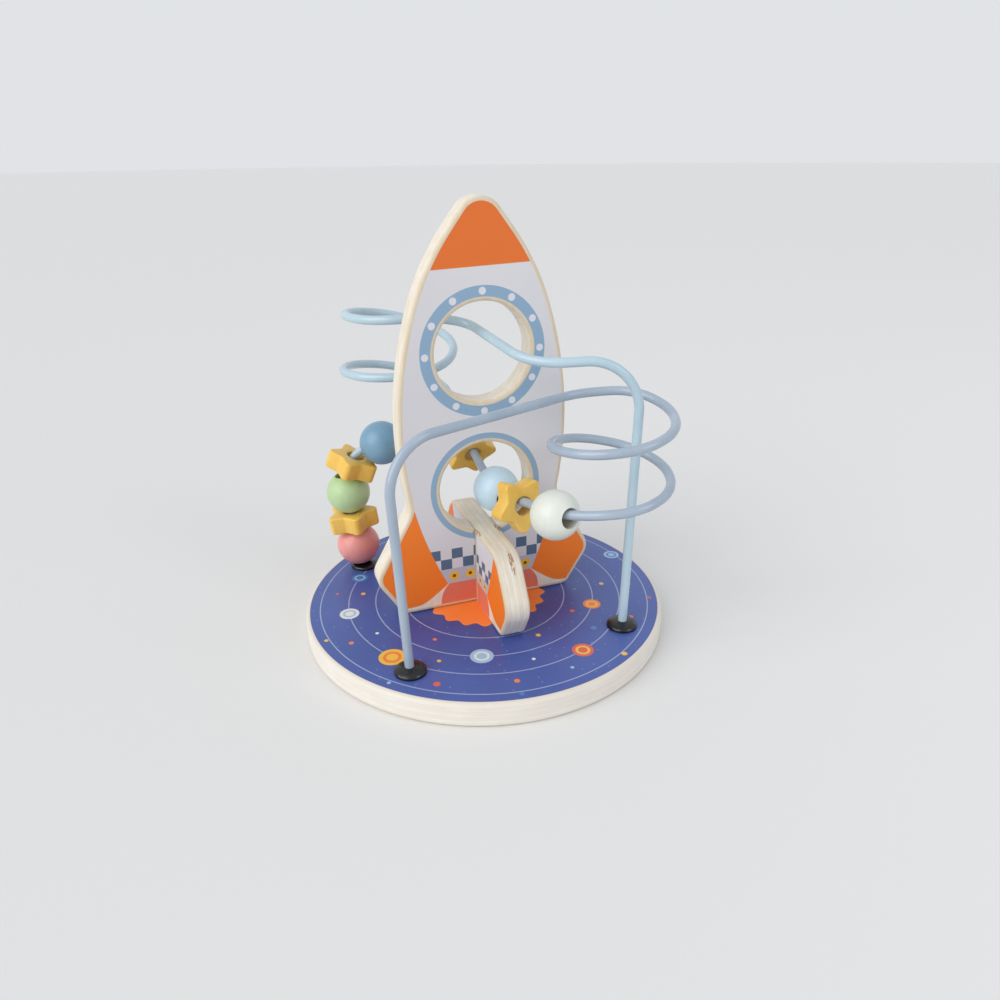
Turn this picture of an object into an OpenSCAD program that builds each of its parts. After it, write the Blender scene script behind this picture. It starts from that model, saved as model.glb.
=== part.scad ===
// Wooden bead maze: a round base carries a rocket-shaped board that is crossed by a
// fin board, and two bent wires that pass through the rocket's portholes and carry
// loose wooden balls and stars.
// Millimetres, +Z up, origin at the centre of the base's underside.
// The rocket board stands along X and its face looks along -Y.

/* [Base] */
// Diameter of the round base board
base_d = 180; // [170:1:220]
// Thickness of the base board
base_t = 12; // [10:0.5:18]
// Rounding of the base board's edges
base_round = 2; // [0.5:0.25:3]

/* [Boards] */
// Thickness of the rocket board and the fin board
board_t = 12; // [10:0.5:14]
// Rounding of the edges of both boards and the portholes
edge_round = 1.5; // [0.5:0.25:2]
// Height of the halving joint's shoulder above the base
halving_h = 20; // [14:0.5:26]

/* [Rocket board] */
// Height of the nose above the base
rocket_h = 192.5; // [185:0.5:210]
// Slope of the nose's sides from upright, in degrees
nose_angle = 37; // [34:0.5:40]
// Radius of the nose's tip
nose_r = 11; // [8:0.5:14]
// Height of the corner between nose and hull
shoulder_h = 164.5; // [160:0.5:170]
// Radius of the curve between nose and hull
shoulder_r = 110; // [60:5:110]
// Width between the corners that the hull's long curves round off
belly_w = 91.5; // [88:0.5:96]
// Height of those corners
belly_h = 103; // [98:0.5:108]
// Width where the hull meets the fins
waist_w = 74; // [72:0.5:78]
// Height where the hull meets the fins
waist_h = 54.5; // [51:0.5:58]
// Radius of the corner between hull and fin
waist_r = 11; // [4:0.5:12]
// Width between the corners at the fins' tips
fin_span = 112.5; // [104:0.5:120]
// Height of the fins' tips
fin_h = 20.5; // [17:0.5:24]
// Rounding of the fins' tips
fin_r = 8.5; // [3:0.5:10]
// Width between the corners at the rocket's foot
foot_w = 87; // [80:0.5:94]
// Rounding of those corners
foot_r = 6; // [2:0.5:8]

/* [Portholes] */
// Radius of both portholes
port_r = 22.5; // [21:0.25:24]
// Height of the upper porthole's centre above the base
upper_port_h = 127; // [124:0.5:132]
// Height of the lower porthole's centre above the base
lower_port_h = 62; // [60:0.5:66]

/* [Fin board] */
// Height of the fin board's flat top above the base
crest_h = 40.5; // [38:0.5:44]
// Length of the flat top between its corners
crest_l = 71; // [66:0.5:76]
// Rounding of the top's corners
crest_r = 14; // [2:0.5:16]
// Length between the corners at the fin board's tips
side_fin_span = 103; // [96:0.5:110]
// Height of those tips
side_fin_h = 17; // [14:0.5:20]
// Rounding of those tips
side_fin_r = 11; // [4:0.5:13]
// Length of the fin board's foot between its corners
side_foot_l = 83; // [78:0.5:88]

/* [Wires] */
// Diameter of both wires
wire_d = 4.25; // [3.5:0.25:5]
// Distance of the wires' feet from the centre, along X and along Y
foot_offset = 52; // [50:0.5:56]
// Radius of both coils at the wire's centre
coil_r = 26.5; // [25:0.25:28]
// Drop of the rear coil in one turn
rear_rise = 26.6; // [24:0.2:29]
// Drop of the front coil in one turn
front_rise = 27.5; // [25:0.25:29]
// Height of the front arch's bend above the base
front_arch_h = 106; // [102:0.5:110]
// Radius of the bends at the top of the wires' legs
leg_bend_r = 22; // [18:0.5:24]

/* [Beads] */
// Diameter of the balls
ball_d = 22.5; // [20:0.25:23.5]
// Distance from the centre of a star to the corners of its points
star_r = 15.5; // [13:0.25:16.5]
// Distance from the centre of a star to the corners between its points
star_inner_r = 9; // [8:0.25:10]
// Thickness of the stars
star_t = 9.5; // [8:0.25:11]
// Rounding of the stars' edges
star_round = 1; // [0.5:0.25:1.5]
// Play of a bead on its wire, across
bead_play = 4.75; // [4:0.25:5.5]

/* [Fixings] */
// Diameter of the black cap round each wire's foot
cap_d = 14.5; // [12:0.5:18]
// Height of the cap above the base
cap_h = 3.25; // [2.5:0.25:4]
// Diameter of the spigot under the cap
spigot_d = 9; // [8:0.25:11]
// Length of the spigot in the base
spigot_l = 8; // [6:0.5:9]
// Diameter of the wood screws that hold the boards
screw_d = 3.5; // [3:0.25:4.5]
// Diameter of the screws' heads
screw_head_d = 7; // [6:0.25:9]
// Length of the screws
screw_l = 30; // [24:1:34]
// Distance of the screws from the centre
screw_offset = 27; // [22:0.5:32]

/* [Clearances] */
// Gap between boards in the halving joint
joint_gap = 0.1; // [0.05:0.05:0.3]
// Gap round a fixing in its hole
fixing_gap = 0.1; // [0.05:0.05:0.3]
// Gap between beads that rest on each other or on a wire
rest_gap = 0.3; // [0.2:0.05:0.5]

/* [Hidden] */
$fn = 64;

// Vectors
function unit(v) = v / norm(v);
function flat(p) = [p.x, p.y];

// A route is a list of [corner, bend radius]. Straight stretches join the bends.
function heading(route, i) = unit(route[i + 1][0] - route[i][0]);
function turn(route, i) = acos(heading(route, i - 1) * heading(route, i));
function is_end(route, i) = i == 0 || i == len(route) - 1;
function setback(route, i) = is_end(route, i) ? 0 : route[i][1] * tan(turn(route, i) / 2);
function bend_start(route, i) =
    is_end(route, i) ? route[i][0] : route[i][0] - setback(route, i) * heading(route, i - 1);
function bend_end(route, i) =
    is_end(route, i) ? route[i][0] : route[i][0] + setback(route, i) * heading(route, i);
function bend_axis(route, i) = unit(cross(heading(route, i - 1), heading(route, i)));
function inward(route, i) = cross(bend_axis(route, i), heading(route, i - 1));
function bend_hub(route, i) = bend_start(route, i) + route[i][1] * inward(route, i);
function on_bend(route, i, a) =
    bend_hub(route, i) + route[i][1] * (sin(a) * heading(route, i - 1) - cos(a) * inward(route, i));
function heading_on_bend(route, i, a) =
    cos(a) * heading(route, i - 1) + sin(a) * inward(route, i);

// Stations along a whole route, as [place, heading], with each bend cut into steps
bend_step = 15;
bend_chord = 7;
function bend_length(route, i) = route[i][1] * turn(route, i) * PI / 180;
function bend_cuts(route, i) =
    ceil(max(turn(route, i) / bend_step, bend_length(route, i) / bend_chord));
function stations(route) = concat(
    [[route[0][0], heading(route, 0)]],
    [
        for (i = [1:len(route) - 2])
            for (k = [0:bend_cuts(route, i)])
                let (a = turn(route, i) * k / bend_cuts(route, i))
                [on_bend(route, i, a), heading_on_bend(route, i, a)]
    ],
    [[route[len(route) - 1][0], heading(route, len(route) - 2)]]
);

// Side directions of the stations, carried along without twist
function square_to(v, dir) = unit(v - (v * dir) * dir);
function sides_along(path) = [
    for (
        i = 0, s = square_to([1, 0.3, 0], path[0][1]);
        i < len(path);
        i = i + 1, s = i < len(path) ? square_to(s, path[i][1]) : s
    ) s
];

// Corners of a coil that goes down clockwise, seen from above. Its centre drifts along X
// by drift in a turn, and its loops lean by lean, along X and along Y.
coil_corners = 8;
coil_bend = 0.96 * coil_r;
function coil(centre, top, drop, drift, lean, first, last) = [
    for (k = [first:last])
        let (
            across = coil_r / cos(180 / coil_corners),
            a = 360 * k / coil_corners,
            out = across * [cos(a), -sin(a)],
            turns = k / coil_corners
        )
        [[centre.x + drift * turns + out.x, centre.y + out.y, top - drop * turns + lean * out], coil_bend]
];

// Routes of the wires, from the front foot to the rear foot
ground = base_t;
wire_end = ground - spigot_l + 1;
foot = foot_offset;
upper_z = ground + upper_port_h;
lower_z = ground + lower_port_h;
arch_z = ground + front_arch_h;

rear_coil = coil([29 - foot, foot - 6], upper_z + 22, rear_rise, -3.2, [-0.07, 0.1], 2, 14);
upper_lead = [
    [[foot, -foot, wire_end], 0],
    [[foot + 2.5, -foot, upper_z + 3], leg_bend_r],
    [[10, -37, upper_z + 1], 26],
    [[-2, 17, upper_z + 10.5], 15]
];
upper_tail = [
    [[-7, 67, upper_z - 27], 20],
    [[1, 33, upper_z - 34], 12],
    [[-foot - 7.5, foot + 1, upper_z - 64], leg_bend_r],
    [[-foot, foot, wire_end], 0]
];
upper_route = concat(upper_lead, rear_coil, upper_tail);

front_coil = coil([foot - 7, 6 - foot], arch_z - 0.5, front_rise, 0, [-0.03, 0.01], -1, 10);
lower_lead = [
    [[-foot, -foot, wire_end], 0],
    [[-foot - 4.5, -foot, arch_z], leg_bend_r],
    [[42, -16, arch_z + 0.5], 26]
];
lower_tail = [
    [[18, -63, lower_z + 5.5], 32],
    [[7.5, 2, lower_z - 7], 60],
    [[4, 52, lower_z + 13.5], 16],
    [[foot + 4, foot + 2, lower_z + 13], leg_bend_r],
    [[foot, foot, wire_end], 0]
];
lower_route = concat(lower_lead, front_coil, lower_tail);

// Places of the beads' bends in the routes
pile_bend = len(upper_route) - 2;
cream_bend = len(lower_lead) + len(front_coil);
valley_bend = cream_bend + 1;

// Rounded outline in the plane from a closed list of [[x, y], radius]
function planar(corners) = [for (c = corners) [[c[0].x, c[0].y, 0], c[1]]];
function wrapped(list, i) = list[(i + len(list)) % len(list)];
function rounded_outline(corners, step) =
    let (loop = planar(corners))
    [
        for (i = [0:len(loop) - 1])
            let (
                trio = [wrapped(loop, i - 1), loop[i], wrapped(loop, i + 1)],
                n = max(2, ceil(turn(trio, 1) / step))
            )
            for (k = [0:n]) flat(on_bend(trio, 1, turn(trio, 1) * k / n))
    ];

// Outward normals of an outline that runs counter-clockwise
function normals(outline) = [
    for (i = [0:len(outline) - 1])
        let (d = unit(wrapped(outline, i + 1) - wrapped(outline, i - 1)))
        [d.y, -d.x]
];

// Edge of a slab that is centred on the plane z = 0, as rings of points from its lower face
// to its upper one: the outline is drawn in by a quarter round at both faces
edge_steps = 3;
function edge_rings(outline, thickness, rounding) =
    let (
        out = normals(outline),
        rim = [for (k = [0:edge_steps]) 90 * k / edge_steps],
        lower = [for (a = rim) [1 - sin(a), rounding * (1 - cos(a)) - thickness / 2]],
        upper = [for (k = [edge_steps:-1:0]) [lower[k][0], -lower[k][1]]]
    )
    [
        for (level = concat(lower, upper))
            [
                for (i = [0:len(outline) - 1])
                    let (p = outline[i] - rounding * level[0] * out[i])
                    [p.x, p.y, level[1]]
            ]
    ];

// Triangles of the wall between ring j and ring k, of n points each
function wall(j, k, n) = [
    for (i = [0:n - 1])
        let (next = (i + 1) % n)
        each [[k * n + next, j * n + next, j * n + i], [k * n + i, k * n + next, j * n + i]]
];

// Slab with rounded edges
module rounded_slab(outline, thickness, rounding) {
    n = len(outline);
    rings = edge_rings(outline, thickness, rounding);
    last = len(rings) - 1;
    lower_face = [for (i = [0:n - 1]) i];
    upper_face = [for (i = [n - 1:-1:0]) last * n + i];
    walls = [for (j = [0:last - 1]) each wall(j, j + 1, n)];
    polyhedron([for (r = rings) each r], concat([lower_face], walls, [upper_face]));
}

// Slab with rounded edges and a bore along Z, whose wall has a point for each of the outline's
module bored_slab(outline, thickness, rounding, bore) {
    n = len(outline);
    bore_rings = [
        for (z = [thickness / 2, -thickness / 2])
            [for (p = outline) let (q = bore / 2 * unit(p)) [q.x, q.y, z]]
    ];
    rings = concat(edge_rings(outline, thickness, rounding), bore_rings);
    walls = [for (j = [0:len(rings) - 1]) each wall(j, (j + 1) % len(rings), n)];
    polyhedron([for (r = rings) each r], walls);
}

// Quarter-round steps from a to b degrees about a centre, for turned profiles
function arc(centre, r, a, b, n = 6) = [
    for (k = [0:n]) centre + r * [cos(a + (b - a) * k / n), sin(a + (b - a) * k / n)]
];

// Turns the Z axis of what it holds to a heading, at a place
module along(place, dir) {
    translate(place)
        rotate([0, acos(dir.z), atan2(dir.y, dir.x)])
            children();
}

// Stands a board, drawn in the plane with its height along Y, upright on the base
module stand(spin) {
    translate([0, 0, ground])
        rotate([0, 0, spin])
            rotate([90, 0, 0])
                children();
}

// Wire swept along a route as one tube
wire_facets = 10;
module wire(route) {
    path = stations(route);
    side = sides_along(path);
    n = wire_facets;
    r = wire_d / 2;
    points = [
        for (i = [0:len(path) - 1])
            let (up = cross(path[i][1], side[i]))
            for (k = [0:n - 1])
                path[i][0] + r * (cos(360 * k / n) * side[i] + sin(360 * k / n) * up)
    ];
    walls = [
        for (j = [0:len(path) - 2])
            for (k = [0:n - 1])
                let (a = j * n + k, b = j * n + (k + 1) % n)
                each [[a + n, b + n, b], [a + n, b, a]]
    ];
    start_face = [for (k = [0:n - 1]) k];
    end_face = [for (k = [n - 1:-1:0]) (len(path) - 1) * n + k];
    polyhedron(points, concat([start_face], walls, [end_face]));
}

// Outlines of the two boards
function mirrored(half) = [for (i = [len(half) - 1:-1:0]) [[-half[i][0].x, half[i][0].y], half[i][1]]];
nose_corner_h = rocket_h + nose_r * (1 / sin(nose_angle) - 1);
shoulder = [(nose_corner_h - shoulder_h) * tan(nose_angle), shoulder_h];
belly = [belly_w / 2, belly_h];
waist = [waist_w / 2, waist_h];
belly_turn = acos(unit(belly - waist) * unit(shoulder - belly));
shoulder_turn = acos(unit(shoulder - belly) * [-sin(nose_angle), cos(nose_angle)]);
belly_setback = min(
    0.9 * norm(belly - waist),
    norm(shoulder - belly) - shoulder_r * tan(shoulder_turn / 2) - 1
);
rocket_half = [
    [[foot_w / 2, 0], foot_r],
    [[fin_span / 2, fin_h], fin_r],
    [waist, waist_r],
    [belly, belly_setback / tan(belly_turn / 2)],
    [shoulder, shoulder_r]
];
nose = [[0, nose_corner_h], nose_r];
rocket_outline = rounded_outline(concat(rocket_half, [nose], mirrored(rocket_half)), 5);
fin_half = [
    [[side_foot_l / 2, 0], foot_r],
    [[side_fin_span / 2, side_fin_h], side_fin_r],
    [[crest_l / 2, crest_h], crest_r]
];
fin_outline = rounded_outline(concat(fin_half, mirrored(fin_half)), 9);

// Outline of a star bead
star_points = 5;
star_tip_r = 2.5;
star_valley_r = 3;
star_outline = rounded_outline([
    for (k = [0:2 * star_points - 1])
        let (a = 180 * k / star_points, tip = k % 2 == 0)
        [(tip ? star_r : star_inner_r) * [cos(a), sin(a)], tip ? star_tip_r : star_valley_r]
], 24);

// Beads and their places on the wires
bead_bore = wire_d + bead_play;
ball_half = sqrt(pow(ball_d / 2, 2) - pow(bead_bore / 2, 2));
hang = bead_play / 2 - rest_gap;
function below(dir) = square_to([0, 0, -1], dir);
function to_hub(route, i, a) = unit(bend_hub(route, i) - on_bend(route, i, a));
function bow(route, i) = pow(ball_half, 2) / (2 * route[i][1]);

pile_up = -heading(upper_route, pile_bend);
pile_in = unit(cross(bend_axis(upper_route, pile_bend), -pile_up));
pile_foot = upper_route[pile_bend + 1][0] + pile_up * (ground - wire_end) / pile_up.z;
green_shift = 0.6;
green_lift = 0.2;
green_lean = 3;
pink_s = cap_h + rest_gap + ball_half;
low_star_s = pink_s + ball_half + rest_gap + star_t / 2;
green_s = low_star_s + star_t / 2 + rest_gap + ball_half + green_lift;
high_star_a = turn(upper_route, pile_bend) - 38;
high_star_lean = 10;
high_star_shift = 1.6;
blue_s = 8;
blue_hang = 1.4;

cream_a = turn(lower_route, cream_bend) - 7;
cream_hang = 1.4;
front_star_s = 26.5;
pale_blue_a = turn(lower_route, valley_bend) / 2;
pale_blue_hang = hang - 1.2 * bow(lower_route, valley_bend);
rear_star_s = 17;

// Turns of the stars round their wires
low_star_spin = 27;
high_star_spin = 50;
front_star_spin = 3;
rear_star_spin = 52;

blue_dir = heading(upper_route, pile_bend - 1);
front_star_dir = heading(lower_route, cream_bend);
rear_star_dir = heading(lower_route, valley_bend);
cream_dir = heading_on_bend(lower_route, cream_bend, cream_a);
pale_blue_dir = heading_on_bend(lower_route, valley_bend, pale_blue_a);
high_star_dir = -heading_on_bend(upper_route, pile_bend, high_star_a + high_star_lean);
green_dir = unit(pile_up - sin(green_lean) * pile_in);

pink_at = pile_foot + pink_s * pile_up;
low_star_at = pile_foot + low_star_s * pile_up;
green_at = pile_foot + green_s * pile_up + green_shift * pile_in;
high_star_at = on_bend(upper_route, pile_bend, high_star_a)
    + high_star_shift * to_hub(upper_route, pile_bend, high_star_a);
blue_at = bend_start(upper_route, pile_bend) - blue_s * blue_dir + blue_hang * below(blue_dir);
cream_at = on_bend(lower_route, cream_bend, cream_a) + cream_hang * below(cream_dir)
    + bow(lower_route, cream_bend) / 2 * to_hub(lower_route, cream_bend, cream_a);
front_star_at = bend_end(lower_route, cream_bend) + front_star_s * front_star_dir
    + hang * below(front_star_dir);
pale_blue_at = on_bend(lower_route, valley_bend, pale_blue_a)
    + pale_blue_hang * below(pale_blue_dir);
rear_star_at = bend_end(lower_route, valley_bend) + rear_star_s * rear_star_dir
    + hang * below(rear_star_dir);

module ball(place, dir) {
    along(place, dir)
        difference() {
            sphere(d = ball_d);
            cylinder(d = bead_bore, h = ball_d + 2, center = true);
        }
}

module star(place, dir, spin) {
    along(place, dir)
        rotate([0, 0, spin]) bored_slab(star_outline, star_t, star_round, bead_bore);
}

// Hole through a board with rounded rims
module port_cut(height) {
    half = board_t / 2;
    rim = arc([port_r + edge_round, half - edge_round], edge_round, 180, 90);
    profile = concat(
        [[0, 0], [port_r, 0]],
        rim,
        [[port_r + edge_round, half + 1], [0, half + 1]]
    );
    translate([0, height, 0])
        for (side = [0, 180])
            rotate([side, 0, 0]) rotate_extrude() polygon(profile);
}

// Countersunk wood screw, head down, standing on its head's face
screw_recess = 0.4;
screw_point = 5;
module screw_form(gap, length) {
    head = (screw_head_d - screw_d) / 2;
    rotate_extrude()
        polygon([
            [0, 0],
            [screw_head_d / 2 + gap, 0],
            [screw_d / 2 + gap, head],
            [screw_d / 2 + gap, length - screw_point],
            [0.4 + gap, length],
            [0, length]
        ]);
}

module at_screws() {
    for (spin = [0, 90, 180, 270])
        rotate([0, 0, spin]) translate([screw_offset, 0, screw_recess]) children();
}

module screw_holes() {
    at_screws() {
        screw_form(fixing_gap, screw_l + fixing_gap);
        translate([0, 0, -screw_recess - 1])
            cylinder(d = screw_head_d + 2 * fixing_gap, h = screw_recess + 1.01);
    }
}

// Black cap round a wire's foot: a domed flange on the base with a spigot in it
cap_lip = 0.8;
module cap_form() {
    dome = [
        for (a = [0:10:90]) [cap_d / 2 * cos(a), cap_lip + (cap_h - cap_lip) * sin(a)]
    ];
    spigot = [[0, -spigot_l], [spigot_d / 2, -spigot_l], [spigot_d / 2, 0]];
    rotate_extrude() polygon(concat(spigot, [[cap_d / 2, 0]], dome));
}

module cap(route, end) {
    tip = route[end][0];
    up = end == 0 ? heading(route, 0) : -heading(route, end - 1);
    difference() {
        translate([tip.x, tip.y, ground]) cap_form();
        along(tip - fixing_gap * up, up)
            cylinder(d = wire_d + 2 * fixing_gap, h = spigot_l + cap_h + 5);
    }
}

module at_feet() {
    for (x = [-foot, foot], y = [-foot, foot]) translate([x, y, ground]) children();
}

// Sub-parts
module base_disc() {
    r = base_d / 2;
    e = base_round;
    profile = concat(
        [[0, 0]],
        arc([r - e, e], e, -90, 0),
        arc([r - e, base_t - e], e, 0, 90),
        [[0, base_t]]
    );
    color("slateblue")
        difference() {
            rotate_extrude($fn = 128) polygon(profile);
            at_feet()
                translate([0, 0, -spigot_l - fixing_gap])
                    cylinder(d = spigot_d + 2 * fixing_gap, h = spigot_l + 1);
            screw_holes();
        }
}

module rocket_plate() {
    color("ghostwhite")
        difference() {
            stand(0)
                difference() {
                    rounded_slab(rocket_outline, board_t, edge_round);
                    port_cut(upper_port_h);
                    port_cut(lower_port_h);
                }
            translate([-board_t / 2 - joint_gap, -board_t, ground + halving_h])
                cube([board_t + 2 * joint_gap, 2 * board_t, lower_port_h - halving_h]);
            screw_holes();
        }
}

module fin_plate() {
    color("chocolate")
        difference() {
            stand(90) rounded_slab(fin_outline, board_t, edge_round);
            translate([-board_t, -board_t / 2 - joint_gap, ground - 1])
                cube([2 * board_t, board_t + 2 * joint_gap, halving_h + joint_gap + 1]);
            screw_holes();
        }
}

module plate_screws() {
    slot = [screw_d, 0.8, 1.6];
    color("silver")
        at_screws()
            difference() {
                screw_form(0, screw_l);
                for (spin = [0, 90])
                    rotate([0, 0, spin]) translate(-slot / 2) cube(slot);
            }
}

module upper_wire() { color("lightblue") wire(upper_route); }
module lower_wire() { color("lightsteelblue") wire(lower_route); }
module cap_front_left() { color("black") cap(lower_route, 0); }
module cap_front_right() { color("black") cap(upper_route, 0); }
module cap_rear_left() { color("black") cap(upper_route, len(upper_route) - 1); }
module cap_rear_right() { color("black") cap(lower_route, len(lower_route) - 1); }
module pink_ball() { color("rosybrown") ball(pink_at, pile_up); }
module pile_star_low() { color("goldenrod") star(low_star_at, pile_up, low_star_spin); }
module green_ball() { color("darkseagreen") ball(green_at, green_dir); }
module pile_star_high() { color("goldenrod") star(high_star_at, high_star_dir, high_star_spin); }
module blue_ball() { color("steelblue") ball(blue_at, blue_dir); }
module cream_ball() { color("ivory") ball(cream_at, cream_dir); }
module front_star() { color("goldenrod") star(front_star_at, front_star_dir, front_star_spin); }
module pale_blue_ball() { color("powderblue") ball(pale_blue_at, pale_blue_dir); }
module rear_star() { color("goldenrod") star(rear_star_at, rear_star_dir, rear_star_spin); }

// Least gaps of the wires, measured on points along them
gap_step = 4;
gap_reach = PI * coil_r;
function stretch_points(a, b) =
    let (n = ceil(norm(b - a) / gap_step))
    [for (k = [0:n - 1]) a + (b - a) * k / n];
function bend_points(route, i) = [
    for (k = [0:bend_cuts(route, i) - 1]) on_bend(route, i, turn(route, i) * k / bend_cuts(route, i))
];
function wire_points(route) = [
    for (i = [0:len(route) - 2])
        each concat(
            i == 0 ? [] : bend_points(route, i),
            stretch_points(bend_end(route, i), bend_start(route, i + 1))
        )
];
function way_along(points) = [
    for (
        i = 0, way = 0;
        i < len(points);
        i = i + 1, way = i < len(points) ? way + norm(points[i] - points[i - 1]) : way
    ) way
];
function gap_between(a, b) = min([for (p = a) for (q = b) norm(p - q)]) - wire_d;
function gap_to_itself(points) =
    let (way = way_along(points), last = len(points) - 1)
    min([
        for (i = [0:last])
            for (j = [i:last])
                if (way[j] - way[i] > gap_reach) norm(points[i] - points[j])
    ]) - wire_d;
upper_points = wire_points(upper_route);
lower_points = wire_points(lower_route);
echo(str("Least gap of the upper wire to itself: ", gap_to_itself(upper_points)));
echo(str("Least gap of the lower wire to itself: ", gap_to_itself(lower_points)));
echo(str("Least gap between the two wires: ", gap_between(upper_points, lower_points)));

base_disc();
rocket_plate();
fin_plate();
plate_screws();
upper_wire();
lower_wire();
cap_front_left();
cap_front_right();
cap_rear_left();
cap_rear_right();
pink_ball();
pile_star_low();
green_ball();
pile_star_high();
blue_ball();
cream_ball();
front_star();
pale_blue_ball();
rear_star();
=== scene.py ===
import math

import bpy
import numpy as np
from mathutils import Matrix, Vector
from mathutils.geometry import tessellate_polygon


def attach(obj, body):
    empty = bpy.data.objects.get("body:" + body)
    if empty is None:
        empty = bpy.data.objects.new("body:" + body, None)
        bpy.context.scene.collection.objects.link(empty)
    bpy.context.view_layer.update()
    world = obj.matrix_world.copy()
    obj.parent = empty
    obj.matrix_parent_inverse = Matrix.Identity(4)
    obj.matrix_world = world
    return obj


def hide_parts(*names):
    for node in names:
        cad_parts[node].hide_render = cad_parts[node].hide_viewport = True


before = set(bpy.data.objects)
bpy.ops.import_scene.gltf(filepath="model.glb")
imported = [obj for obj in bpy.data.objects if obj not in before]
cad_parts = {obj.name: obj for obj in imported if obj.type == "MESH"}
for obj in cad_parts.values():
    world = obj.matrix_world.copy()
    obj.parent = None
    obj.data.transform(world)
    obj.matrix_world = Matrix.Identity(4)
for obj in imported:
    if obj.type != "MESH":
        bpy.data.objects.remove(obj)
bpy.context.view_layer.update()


# Camera: a wide lens close to the toy, above it and to its left,
# tipped by about half a degree.
lens, sensor = 28.722, 36.0
azimuth, elevation, roll = np.radians([-19.643, 24.167, -0.626])
aim = np.array([0.0092, 0.0, 0.0631])
reach = 0.39399
back = np.array([
    np.sin(azimuth) * np.cos(elevation),
    -np.cos(azimuth) * np.cos(elevation),
    np.sin(elevation),
])
level = np.array([np.cos(azimuth), np.sin(azimuth), 0.0])
upright = np.cross(back, level)
sideways = np.cos(roll) * level + np.sin(roll) * upright
upwards = np.cos(roll) * upright - np.sin(roll) * level
pose = np.eye(4)
pose[:3] = np.column_stack([sideways, upwards, back, aim + reach * back])
camera = bpy.data.objects.new("camera", bpy.data.cameras.new("camera"))
camera.data.lens = lens
camera.data.sensor_fit = "HORIZONTAL"
camera.data.sensor_width = sensor
camera.data.clip_start, camera.data.clip_end = 0.01, 50.0
camera.matrix_world = Matrix(pose.tolist())
bpy.context.scene.collection.objects.link(camera)
bpy.context.scene.camera = camera
bpy.context.scene.view_settings.view_transform = "Standard"


# Room: a wide pale floor under a pale sky. Soft light comes from a broad window high on the
# left, with a small lamp on the right for the gloss.
class Tone:
    """A socket among a material's nodes. Sums, differences, products and quotients of values
    become Math nodes, and node() adds any other node and gives one of its outputs."""

    def __init__(self, tree, socket):
        self.tree, self.socket = tree, socket

    def node(self, kind, settings, sockets, output=0):
        made = self.tree.nodes.new(kind)
        for name, value in settings.items():
            setattr(made, name, value)
        for name, value in sockets.items():
            if isinstance(value, Tone):
                self.tree.links.new(value.socket, made.inputs[name])
            else:
                made.inputs[name].default_value = value
        return Tone(self.tree, made.outputs[output])

    def to(self, shader, name):
        self.tree.links.new(self.socket, shader.inputs[name])

    def math(self, operation, *values):
        return self.node("ShaderNodeMath", {"operation": operation}, dict(enumerate(values)))

    def __add__(self, other):
        return self.math("ADD", self, other)

    def __sub__(self, other):
        return self.math("SUBTRACT", self, other)

    def __rsub__(self, other):
        return self.math("SUBTRACT", other, self)

    def __mul__(self, other):
        return self.math("MULTIPLY", self, other)

    def __truediv__(self, other):
        return self.math("DIVIDE", self, other)

    def __abs__(self):
        return self.math("ABSOLUTE", self)

    def floor(self):
        return self.math("FLOOR", self)

    def most(self, other):
        return self.math("MAXIMUM", self, other)

    def rise(self, low, high):
        """0 up to low and 1 from high on, with a smooth step between them; low may be the larger."""
        return self.node(
            "ShaderNodeMapRange",
            {"interpolation_type": "SMOOTHSTEP"},
            {"Value": self, "From Min": low, "From Max": high},
        )

    def pick(self, first, second):
        """The colour first where this mask is 0, and second where it is 1."""
        return self.node("ShaderNodeMix", {"data_type": "RGBA"}, {0: self, 6: first, 7: second}, 2)

    def parts(self):
        """The three parts of a vector."""
        split = self.node("ShaderNodeSeparateXYZ", {}, {0: self})
        return [Tone(self.tree, out) for out in split.socket.node.outputs]

    def stretched(self, by):
        return self.node("ShaderNodeVectorMath", {"operation": "MULTIPLY"}, {0: self, 1: by})

    def noise(self, size, detail=3.0):
        """Cloudy values about 0.5, whose lumps are about size across."""
        return self.node(
            "ShaderNodeTexNoise",
            {},
            {"Vector": self, "Scale": 1 / size, "Detail": detail},
        )

    def away(self, spot):
        """How far this place is from a spot."""
        distance = {"operation": "DISTANCE"}
        return self.node("ShaderNodeVectorMath", distance, {0: self, 1: spot}, "Value")

    def attribute(self, name):
        """A value that the mesh carries at its points."""
        return self.node("ShaderNodeAttribute", {"attribute_name": name}, {}, "Fac")

    def bump(self, distance, strength=1.0):
        """A normal for a surface that this height, from 0 to 1, raises by distance in metres."""
        return self.node(
            "ShaderNodeBump",
            {},
            {"Height": self, "Distance": distance, "Strength": strength},
        )


def srgb(red, green, blue):
    """A colour from its eight-bit display values, as the shader's linear ones."""
    shown = np.array([red, green, blue]) / 255
    linear = np.where(shown <= 0.04045, shown / 12.92, ((shown + 0.055) / 1.055) ** 2.4)
    return (*linear.tolist(), 1.0)


def new_finish(name):
    """A material, its shader, and the place on the piece in millimetres."""
    material = bpy.data.materials.new(name)
    material.use_nodes = True
    tree = material.node_tree
    coordinates = Tone(tree, tree.nodes.new("ShaderNodeTexCoord").outputs["Object"])
    place = coordinates.stretched((1000.0, 1000.0, 1000.0))
    return material, tree.nodes["Principled BSDF"], place


def put_mesh(name, points, faces):
    """An object at the origin from points in millimetres and faces that name them."""
    mesh = bpy.data.meshes.new(name)
    mesh.from_pydata((np.asarray(points) / 1000).tolist(), [], faces)
    mesh.update()
    piece = bpy.data.objects.new(name, mesh)
    bpy.context.scene.collection.objects.link(piece)
    return piece


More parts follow.
